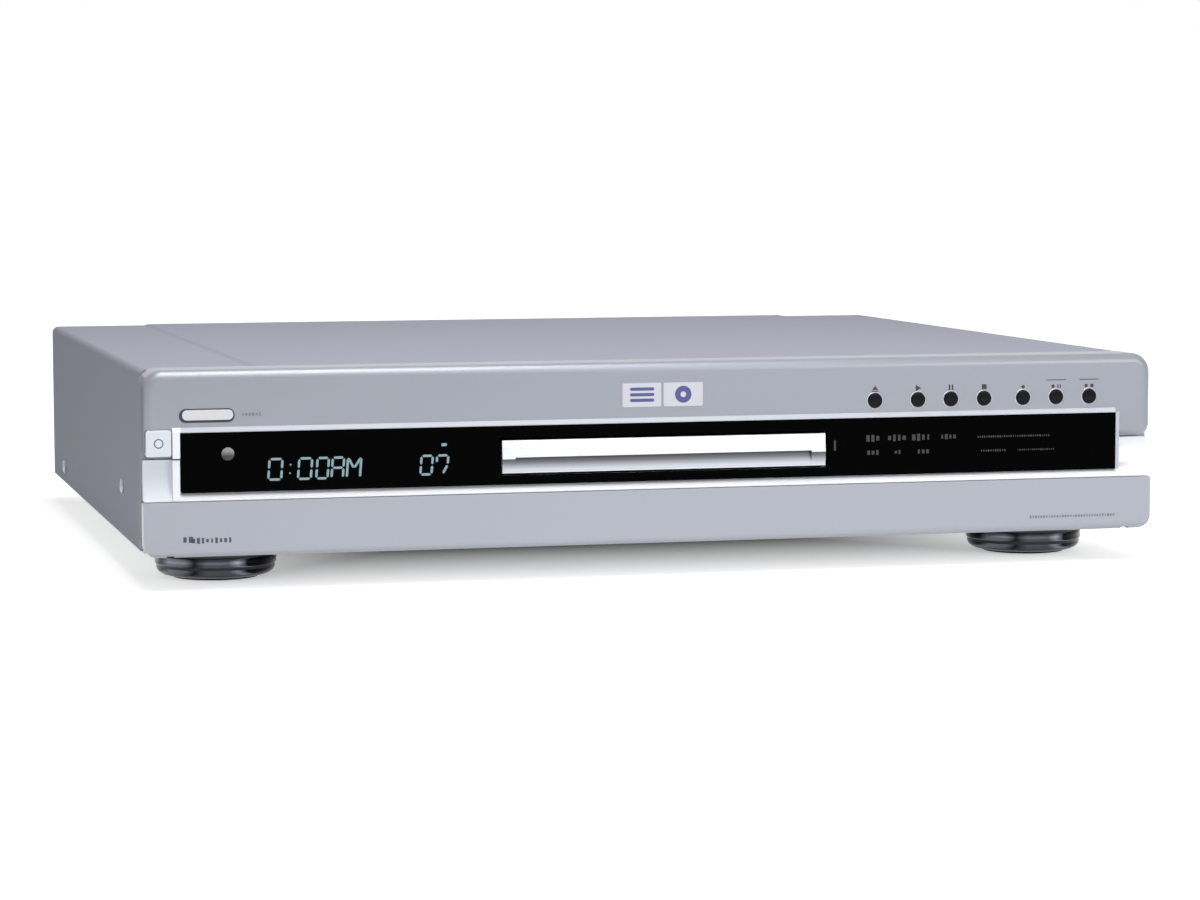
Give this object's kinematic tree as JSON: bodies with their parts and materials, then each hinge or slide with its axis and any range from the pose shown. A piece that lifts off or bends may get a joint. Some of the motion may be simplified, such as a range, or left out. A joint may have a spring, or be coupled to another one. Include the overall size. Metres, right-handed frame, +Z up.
{
  "type": "dvd recorder",
  "caption": "Full-width disc recorder: silver case on round feet, sliding disc tray in a black window, round push buttons, a hinged lower flap and rear sockets.",
  "frame": {"origin": "on the table under the middle of the recorder", "axes": "+X to the right seen from the front, +Y to the back, +Z up"},
  "size_m": [0.43, 0.39, 0.089],
  "materials": {
    "front_silver": "satin silver paint on moulded plastic",
    "light_trim": "light silver plastic",
    "window_black": "black gloss",
    "tray_silver": "bright silver plastic",
    "cover_silver": "fine silver paint",
    "button_dark": "dark gloss",
    "moulding_black": "black plastic",
    "moulding_grey": "grey plastic",
    "gear_white": "natural plastic",
    "steel": "plated sheet",
    "bright_metal": "bright plated",
    "rubber": "black rubber",
    "board_green": "circuit board",
    "glass": "clear glass",
    "aluminium": "plain",
    "core_iron": "ferrite core"
  },
  "bodies": {
    "recorder": {"front_panel": "front_silver", "sill_trim": "light_trim", "window_surround": "light_trim", "display_window": "window_black", "top_cover": "cover_silver", "flap_hinge_pins": "steel", "front_jack_panel": "moulding_black", "front_jacks": "moulding_black", "drive_frame": "moulding_black", "drive_brackets": "steel", "loading_motor": "steel", "drive_belt": "rubber", "traverse_base": "steel", "spindle_motor": "steel", "guide_rods": "steel", "sled_motor": "steel", "clamp_bridge": "steel", "front_board": "board_green", "button_switches": "moulding_grey", "display_tube": "glass", "remote_sensor": "moulding_black", "bottom_chassis": "steel", "rear_panel": "steel", "rear_phono_sockets": "moulding_black", "s_video_sockets": "moulding_black", "tuner_module": "steel", "aerial_sockets": "bright_metal", "ac_inlet": "moulding_black", "fan_frame": "moulding_black", "cover_screws": "bright_metal", "feet": "moulding_black", "foot_rings": "bright_metal", "foot_pads": "rubber", "main_board": "board_green", "heat_sink": "aluminium", "power_supply_board": "board_green", "power_transformer": "core_iron", "capacitors": "moulding_grey"},
    "disc_tray_body": {"disc_tray": "moulding_black", "tray_front": "tray_silver"},
    "front_flap_body": {"front_flap": "front_silver"},
    "tray_gear_body": {"tray_gear": "gear_white"},
    "pulley_gear_body": {"pulley_gear": "gear_white"},
    "motor_pulley_body": {"motor_pulley": "gear_white"},
    "turntable_body": {"turntable": "moulding_grey"},
    "pickup_sled_body": {"pickup_sled": "moulding_grey"},
    "lead_screw_body": {"lead_screw": "steel"},
    "clamper_body": {"clamper": "gear_white"},
    "fan_rotor_body": {"fan_rotor": "moulding_black"},
    "power_button_body": {"power_button": "light_trim"},
    "open_close_button_body": {"open_close_button": "button_dark"},
    "play_button_body": {"play_button": "button_dark"},
    "pause_button_body": {"pause_button": "button_dark"},
    "stop_button_body": {"stop_button": "button_dark"},
    "record_button_body": {"record_button": "button_dark"},
    "record_pause_button_body": {"record_pause_button": "button_dark"},
    "record_stop_button_body": {"record_stop_button": "button_dark"}
  },
  "joints": [
    {"name": "tray_slide", "type": "slide", "parent": "recorder", "child": "disc_tray_body", "axis": [0, -1, 0], "range_m": [0, 0.145]},
    {"name": "tray_gear_turn", "type": "hinge", "parent": "recorder", "child": "tray_gear_body", "pos_m": [-0.0435, -0.162, 0.0425], "axis": [0, 0, 1], "range_deg": [0, 1188.8]},
    {"name": "pulley_gear_turn", "type": "hinge", "parent": "recorder", "child": "pulley_gear_body", "pos_m": [-0.0225, -0.162, 0.0405], "axis": [0, 0, 1], "range_deg": [-2969.1, 0]},
    {"name": "motor_pulley_turn", "type": "hinge", "parent": "recorder", "child": "motor_pulley_body", "pos_m": [0.012, -0.168, 0.0385], "axis": [0, 0, 1], "range_deg": [-10051.9, 0]},
    {"name": "flap_fold", "type": "hinge", "parent": "recorder", "child": "front_flap_body", "pos_m": [0, -0.1906, 0.0174], "axis": [1, 0, 0], "range_deg": [0, 90]},
    {"name": "turntable_spin", "type": "hinge", "parent": "recorder", "child": "turntable_body", "pos_m": [0, -0.118, 0.044], "axis": [0, 0, 1], "continuous": true},
    {"name": "sled_slide", "type": "slide", "parent": "recorder", "child": "pickup_sled_body", "axis": [0, 1, 0], "range_m": [0, 0.034]},
    {"name": "lead_screw_turn", "type": "hinge", "parent": "recorder", "child": "lead_screw_body", "pos_m": [-0.03, -0.098, 0.043], "axis": [0, 1, 0], "range_deg": [0, 4082]},
    {"name": "clamper_spin", "type": "hinge", "parent": "recorder", "child": "clamper_body", "pos_m": [0, -0.118, 0.0635], "axis": [0, 0, 1], "continuous": true},
    {"name": "fan_spin", "type": "hinge", "parent": "recorder", "child": "fan_rotor_body", "pos_m": [-0.062, 0.174, 0.054], "axis": [0, 1, 0], "continuous": true},
    {"name": "power_press", "type": "slide", "parent": "recorder", "child": "power_button_body", "axis": [0, 1, 0], "range_m": [0, 0.0007], "stiffness_N_per_m": 900, "springref_m": -0.0006},
    {"name": "open_close_press", "type": "slide", "parent": "recorder", "child": "open_close_button_body", "axis": [0, 1, 0], "range_m": [0, 0.0007], "stiffness_N_per_m": 900, "springref_m": -0.0006},
    {"name": "play_press", "type": "slide", "parent": "recorder", "child": "play_button_body", "axis": [0, 1, 0], "range_m": [0, 0.0007], "stiffness_N_per_m": 900, "springref_m": -0.0006},
    {"name": "pause_press", "type": "slide", "parent": "recorder", "child": "pause_button_body", "axis": [0, 1, 0], "range_m": [0, 0.0007], "stiffness_N_per_m": 900, "springref_m": -0.0006},
    {"name": "stop_press", "type": "slide", "parent": "recorder", "child": "stop_button_body", "axis": [0, 1, 0], "range_m": [0, 0.0007], "stiffness_N_per_m": 900, "springref_m": -0.0006},
    {"name": "record_press", "type": "slide", "parent": "recorder", "child": "record_button_body", "axis": [0, 1, 0], "range_m": [0, 0.0007], "stiffness_N_per_m": 900, "springref_m": -0.0006},
    {"name": "record_pause_press", "type": "slide", "parent": "recorder", "child": "record_pause_button_body", "axis": [0, 1, 0], "range_m": [0, 0.0007], "stiffness_N_per_m": 900, "springref_m": -0.0006},
    {"name": "record_stop_press", "type": "slide", "parent": "recorder", "child": "record_stop_button_body", "axis": [0, 1, 0], "range_m": [0, 0.0007], "stiffness_N_per_m": 900, "springref_m": -0.0006}
  ],
  "couplings": [
    {"joint": "tray_gear_turn", "follows": "tray_slide", "rad_per_m": 142.86},
    {"joint": "pulley_gear_turn", "follows": "tray_slide", "rad_per_m": -357.14},
    {"joint": "motor_pulley_turn", "follows": "tray_slide", "rad_per_m": -1209.7},
    {"joint": "lead_screw_turn", "follows": "sled_slide", "rad_per_m": 2094.4}
  ]
}
